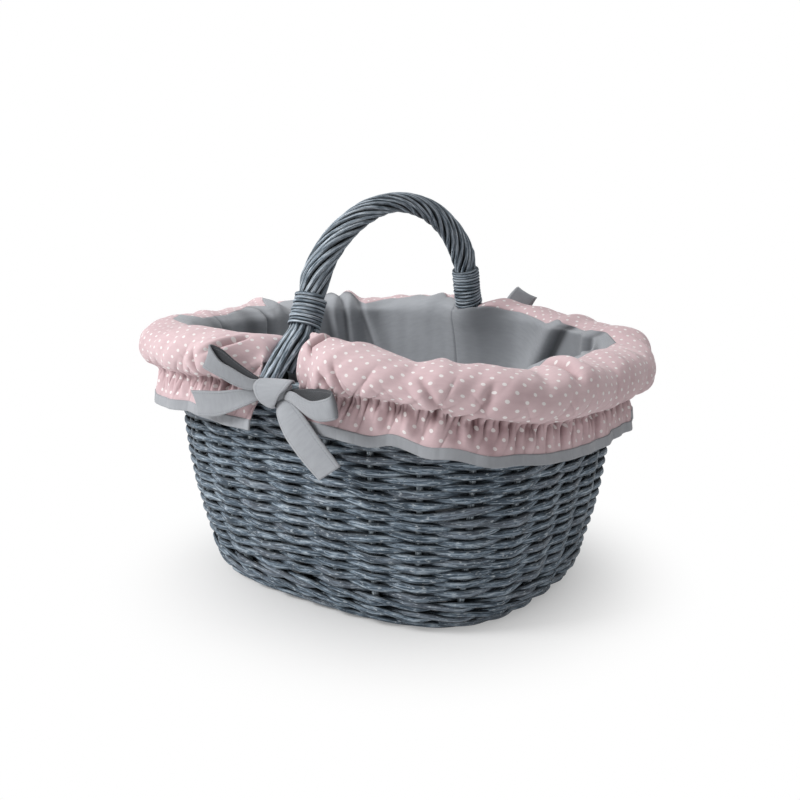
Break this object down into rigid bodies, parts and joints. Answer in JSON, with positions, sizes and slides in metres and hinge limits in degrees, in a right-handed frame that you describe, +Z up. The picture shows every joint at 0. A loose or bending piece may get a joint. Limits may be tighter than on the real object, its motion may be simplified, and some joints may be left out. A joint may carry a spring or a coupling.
{
  "type": "wicker shopping basket",
  "caption": "Woven willow basket with a roped arch handle and a cloth lining whose gathered cuff rolls over the rim, is edged with a hem band and ties in bows at the feet of the handle.",
  "frame": {"origin": "middle of the footprint, on the surface that the basket stands on", "axes": "+Z up, +X along the basket's length, +Y across its width; the handle arches in the plane X = 0"},
  "size_m": [0.4796, 0.449, 0.3706],
  "materials": {
    "willow": "blue-grey painted willow rods, worn and streaked",
    "handle_willow": "blue-grey painted willow rods, twisted and bound",
    "grey_cotton": "plain woven cotton, matt",
    "dotted_cotton": "dusty pink cotton with small white dots, matt",
    "grey_ribbon": "plain cotton binding and ties, matt",
    "elastic": "covered elastic"
  },
  "bodies": {
    "root": {"base_sticks": "willow", "base_weave": "willow", "foot_wale": "willow", "stake_00": "willow", "stake_01": "willow", "stake_02": "willow", "stake_03": "willow", "stake_04": "willow", "stake_05": "willow", "stake_06": "willow", "stake_08": "willow", "stake_09": "willow", "stake_10": "willow", "stake_11": "willow", "stake_12": "willow", "stake_13": "willow", "stake_14": "willow", "stake_15": "willow", "stake_16": "willow", "stake_17": "willow", "stake_18": "willow", "stake_19": "willow", "stake_20": "willow", "stake_22": "willow", "stake_23": "willow", "stake_24": "willow", "stake_25": "willow", "stake_26": "willow", "stake_27": "willow", "weave_row_01": "willow", "weave_row_02": "willow", "weave_row_03": "willow", "weave_row_04": "willow", "weave_row_05": "willow", "weave_row_06": "willow", "weave_row_07": "willow", "weave_row_08": "willow", "weave_row_09": "willow", "weave_row_10": "willow", "weave_row_11": "willow", "weave_row_12": "willow", "weave_row_13": "willow", "weave_row_14": "willow", "weave_row_15": "willow", "weave_row_16": "willow", "weave_row_17": "willow", "handle_core": "handle_willow", "handle_rope": "handle_willow", "handle_binding_near": "handle_willow", "handle_binding_far": "handle_willow", "lining_bag": "grey_cotton", "cuff_right": "dotted_cotton", "cuff_left": "dotted_cotton", "hem_right": "grey_ribbon", "hem_left": "grey_ribbon", "elastic_right": "elastic", "elastic_left": "elastic", "bow_near": "grey_ribbon", "bow_far": "grey_ribbon"}
  },
  "joints": []
}
